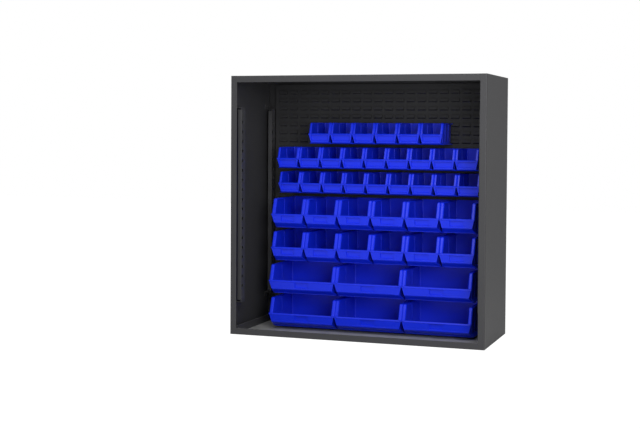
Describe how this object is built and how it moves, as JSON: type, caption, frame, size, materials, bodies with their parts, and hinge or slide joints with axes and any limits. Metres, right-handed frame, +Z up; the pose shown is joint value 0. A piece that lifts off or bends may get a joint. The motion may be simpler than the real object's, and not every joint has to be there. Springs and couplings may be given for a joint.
{
  "type": "open-front bin cabinet",
  "caption": "Open-fronted grey steel cabinet with a louvred back panel, slotted shelf uprights and rows of blue hook-on plastic bins for small parts.",
  "frame": {"origin": "middle of the footprint at floor level", "axes": "+Z up, the open front faces -Y, +X to the right seen from the front"},
  "size_m": [1.524, 0.6096, 1.524],
  "materials": {
    "grey_paint": "satin textured powder coat",
    "blue_plastic": "moulded, semi-gloss"
  },
  "bodies": {
    "cabinet": {"side_panel_left": "grey_paint", "side_panel_right": "grey_paint", "top_panel": "grey_paint", "floor_pan": "grey_paint", "back_panel": "grey_paint", "louvred_panel": "grey_paint", "upright_front_left": "grey_paint", "upright_rear_left": "grey_paint", "upright_front_right": "grey_paint", "upright_rear_right": "grey_paint", "upright_brackets_left": "grey_paint", "upright_brackets_right": "grey_paint"},
    "bin_first_row_1": {"bin_first_row_1": "blue_plastic"},
    "bin_first_row_2": {"bin_first_row_2": "blue_plastic"},
    "bin_first_row_3": {"bin_first_row_3": "blue_plastic"},
    "bin_first_row_4": {"bin_first_row_4": "blue_plastic"},
    "bin_first_row_5": {"bin_first_row_5": "blue_plastic"},
    "bin_first_row_6": {"bin_first_row_6": "blue_plastic"},
    "bin_second_row_1": {"bin_second_row_1": "blue_plastic"},
    "bin_second_row_2": {"bin_second_row_2": "blue_plastic"},
    "bin_second_row_3": {"bin_second_row_3": "blue_plastic"},
    "bin_second_row_4": {"bin_second_row_4": "blue_plastic"},
    "bin_second_row_5": {"bin_second_row_5": "blue_plastic"},
    "bin_second_row_6": {"bin_second_row_6": "blue_plastic"},
    "bin_second_row_7": {"bin_second_row_7": "blue_plastic"},
    "bin_second_row_8": {"bin_second_row_8": "blue_plastic"},
    "bin_second_row_9": {"bin_second_row_9": "blue_plastic"},
    "bin_third_row_1": {"bin_third_row_1": "blue_plastic"},
    "bin_third_row_2": {"bin_third_row_2": "blue_plastic"},
    "bin_third_row_3": {"bin_third_row_3": "blue_plastic"},
    "bin_third_row_4": {"bin_third_row_4": "blue_plastic"},
    "bin_third_row_5": {"bin_third_row_5": "blue_plastic"},
    "bin_third_row_6": {"bin_third_row_6": "blue_plastic"},
    "bin_third_row_7": {"bin_third_row_7": "blue_plastic"},
    "bin_third_row_8": {"bin_third_row_8": "blue_plastic"},
    "bin_third_row_9": {"bin_third_row_9": "blue_plastic"},
    "bin_fourth_row_1": {"bin_fourth_row_1": "blue_plastic"},
    "bin_fourth_row_2": {"bin_fourth_row_2": "blue_plastic"},
    "bin_fourth_row_3": {"bin_fourth_row_3": "blue_plastic"},
    "bin_fourth_row_4": {"bin_fourth_row_4": "blue_plastic"},
    "bin_fourth_row_5": {"bin_fourth_row_5": "blue_plastic"},
    "bin_fourth_row_6": {"bin_fourth_row_6": "blue_plastic"},
    "bin_fifth_row_1": {"bin_fifth_row_1": "blue_plastic"},
    "bin_fifth_row_2": {"bin_fifth_row_2": "blue_plastic"},
    "bin_fifth_row_3": {"bin_fifth_row_3": "blue_plastic"},
    "bin_fifth_row_4": {"bin_fifth_row_4": "blue_plastic"},
    "bin_fifth_row_5": {"bin_fifth_row_5": "blue_plastic"},
    "bin_fifth_row_6": {"bin_fifth_row_6": "blue_plastic"},
    "bin_sixth_row_1": {"bin_sixth_row_1": "blue_plastic"},
    "bin_sixth_row_2": {"bin_sixth_row_2": "blue_plastic"},
    "bin_sixth_row_3": {"bin_sixth_row_3": "blue_plastic"},
    "bin_seventh_row_1": {"bin_seventh_row_1": "blue_plastic"},
    "bin_seventh_row_2": {"bin_seventh_row_2": "blue_plastic"},
    "bin_seventh_row_3": {"bin_seventh_row_3": "blue_plastic"}
  },
  "joints": [
    {"name": "bin_first_row_1_lift", "type": "slide", "parent": "cabinet", "child": "bin_first_row_1", "axis": [0, 0, 1], "range_m": [0, 0.016]},
    {"name": "bin_first_row_2_lift", "type": "slide", "parent": "cabinet", "child": "bin_first_row_2", "axis": [0, 0, 1], "range_m": [0, 0.016]},
    {"name": "bin_first_row_3_lift", "type": "slide", "parent": "cabinet", "child": "bin_first_row_3", "axis": [0, 0, 1], "range_m": [0, 0.016]},
    {"name": "bin_first_row_4_lift", "type": "slide", "parent": "cabinet", "child": "bin_first_row_4", "axis": [0, 0, 1], "range_m": [0, 0.016]},
    {"name": "bin_first_row_5_lift", "type": "slide", "parent": "cabinet", "child": "bin_first_row_5", "axis": [0, 0, 1], "range_m": [0, 0.016]},
    {"name": "bin_first_row_6_lift", "type": "slide", "parent": "cabinet", "child": "bin_first_row_6", "axis": [0, 0, 1], "range_m": [0, 0.016]},
    {"name": "bin_second_row_1_lift", "type": "slide", "parent": "cabinet", "child": "bin_second_row_1", "axis": [0, 0, 1], "range_m": [0, 0.016]},
    {"name": "bin_second_row_2_lift", "type": "slide", "parent": "cabinet", "child": "bin_second_row_2", "axis": [0, 0, 1], "range_m": [0, 0.016]},
    {"name": "bin_second_row_3_lift", "type": "slide", "parent": "cabinet", "child": "bin_second_row_3", "axis": [0, 0, 1], "range_m": [0, 0.016]},
    {"name": "bin_second_row_4_lift", "type": "slide", "parent": "cabinet", "child": "bin_second_row_4", "axis": [0, 0, 1], "range_m": [0, 0.016]},
    {"name": "bin_second_row_5_lift", "type": "slide", "parent": "cabinet", "child": "bin_second_row_5", "axis": [0, 0, 1], "range_m": [0, 0.016]},
    {"name": "bin_second_row_6_lift", "type": "slide", "parent": "cabinet", "child": "bin_second_row_6", "axis": [0, 0, 1], "range_m": [0, 0.016]},
    {"name": "bin_second_row_7_lift", "type": "slide", "parent": "cabinet", "child": "bin_second_row_7", "axis": [0, 0, 1], "range_m": [0, 0.016]},
    {"name": "bin_second_row_8_lift", "type": "slide", "parent": "cabinet", "child": "bin_second_row_8", "axis": [0, 0, 1], "range_m": [0, 0.016]},
    {"name": "bin_second_row_9_lift", "type": "slide", "parent": "cabinet", "child": "bin_second_row_9", "axis": [0, 0, 1], "range_m": [0, 0.016]},
    {"name": "bin_third_row_1_lift", "type": "slide", "parent": "cabinet", "child": "bin_third_row_1", "axis": [0, 0, 1], "range_m": [0, 0.016]},
    {"name": "bin_third_row_2_lift", "type": "slide", "parent": "cabinet", "child": "bin_third_row_2", "axis": [0, 0, 1], "range_m": [0, 0.016]},
    {"name": "bin_third_row_3_lift", "type": "slide", "parent": "cabinet", "child": "bin_third_row_3", "axis": [0, 0, 1], "range_m": [0, 0.016]},
    {"name": "bin_third_row_4_lift", "type": "slide", "parent": "cabinet", "child": "bin_third_row_4", "axis": [0, 0, 1], "range_m": [0, 0.016]},
    {"name": "bin_third_row_5_lift", "type": "slide", "parent": "cabinet", "child": "bin_third_row_5", "axis": [0, 0, 1], "range_m": [0, 0.016]},
    {"name": "bin_third_row_6_lift", "type": "slide", "parent": "cabinet", "child": "bin_third_row_6", "axis": [0, 0, 1], "range_m": [0, 0.016]},
    {"name": "bin_third_row_7_lift", "type": "slide", "parent": "cabinet", "child": "bin_third_row_7", "axis": [0, 0, 1], "range_m": [0, 0.016]},
    {"name": "bin_third_row_8_lift", "type": "slide", "parent": "cabinet", "child": "bin_third_row_8", "axis": [0, 0, 1], "range_m": [0, 0.016]},
    {"name": "bin_third_row_9_lift", "type": "slide", "parent": "cabinet", "child": "bin_third_row_9", "axis": [0, 0, 1], "range_m": [0, 0.016]},
    {"name": "bin_fourth_row_1_lift", "type": "slide", "parent": "cabinet", "child": "bin_fourth_row_1", "axis": [0, 0, 1], "range_m": [0, 0.016]},
    {"name": "bin_fourth_row_2_lift", "type": "slide", "parent": "cabinet", "child": "bin_fourth_row_2", "axis": [0, 0, 1], "range_m": [0, 0.016]},
    {"name": "bin_fourth_row_3_lift", "type": "slide", "parent": "cabinet", "child": "bin_fourth_row_3", "axis": [0, 0, 1], "range_m": [0, 0.016]},
    {"name": "bin_fourth_row_4_lift", "type": "slide", "parent": "cabinet", "child": "bin_fourth_row_4", "axis": [0, 0, 1], "range_m": [0, 0.016]},
    {"name": "bin_fourth_row_5_lift", "type": "slide", "parent": "cabinet", "child": "bin_fourth_row_5", "axis": [0, 0, 1], "range_m": [0, 0.016]},
    {"name": "bin_fourth_row_6_lift", "type": "slide", "parent": "cabinet", "child": "bin_fourth_row_6", "axis": [0, 0, 1], "range_m": [0, 0.016]},
    {"name": "bin_fifth_row_1_lift", "type": "slide", "parent": "cabinet", "child": "bin_fifth_row_1", "axis": [0, 0, 1], "range_m": [0, 0.016]},
    {"name": "bin_fifth_row_2_lift", "type": "slide", "parent": "cabinet", "child": "bin_fifth_row_2", "axis": [0, 0, 1], "range_m": [0, 0.016]},
    {"name": "bin_fifth_row_3_lift", "type": "slide", "parent": "cabinet", "child": "bin_fifth_row_3", "axis": [0, 0, 1], "range_m": [0, 0.016]},
    {"name": "bin_fifth_row_4_lift", "type": "slide", "parent": "cabinet", "child": "bin_fifth_row_4", "axis": [0, 0, 1], "range_m": [0, 0.016]},
    {"name": "bin_fifth_row_5_lift", "type": "slide", "parent": "cabinet", "child": "bin_fifth_row_5", "axis": [0, 0, 1], "range_m": [0, 0.016]},
    {"name": "bin_fifth_row_6_lift", "type": "slide", "parent": "cabinet", "child": "bin_fifth_row_6", "axis": [0, 0, 1], "range_m": [0, 0.016]},
    {"name": "bin_sixth_row_1_lift", "type": "slide", "parent": "cabinet", "child": "bin_sixth_row_1", "axis": [0, 0, 1], "range_m": [0, 0.016]},
    {"name": "bin_sixth_row_2_lift", "type": "slide", "parent": "cabinet", "child": "bin_sixth_row_2", "axis": [0, 0, 1], "range_m": [0, 0.016]},
    {"name": "bin_sixth_row_3_lift", "type": "slide", "parent": "cabinet", "child": "bin_sixth_row_3", "axis": [0, 0, 1], "range_m": [0, 0.016]},
    {"name": "bin_seventh_row_1_lift", "type": "slide", "parent": "cabinet", "child": "bin_seventh_row_1", "axis": [0, 0, 1], "range_m": [0, 0.016]},
    {"name": "bin_seventh_row_2_lift", "type": "slide", "parent": "cabinet", "child": "bin_seventh_row_2", "axis": [0, 0, 1], "range_m": [0, 0.016]},
    {"name": "bin_seventh_row_3_lift", "type": "slide", "parent": "cabinet", "child": "bin_seventh_row_3", "axis": [0, 0, 1], "range_m": [0, 0.016]}
  ]
}
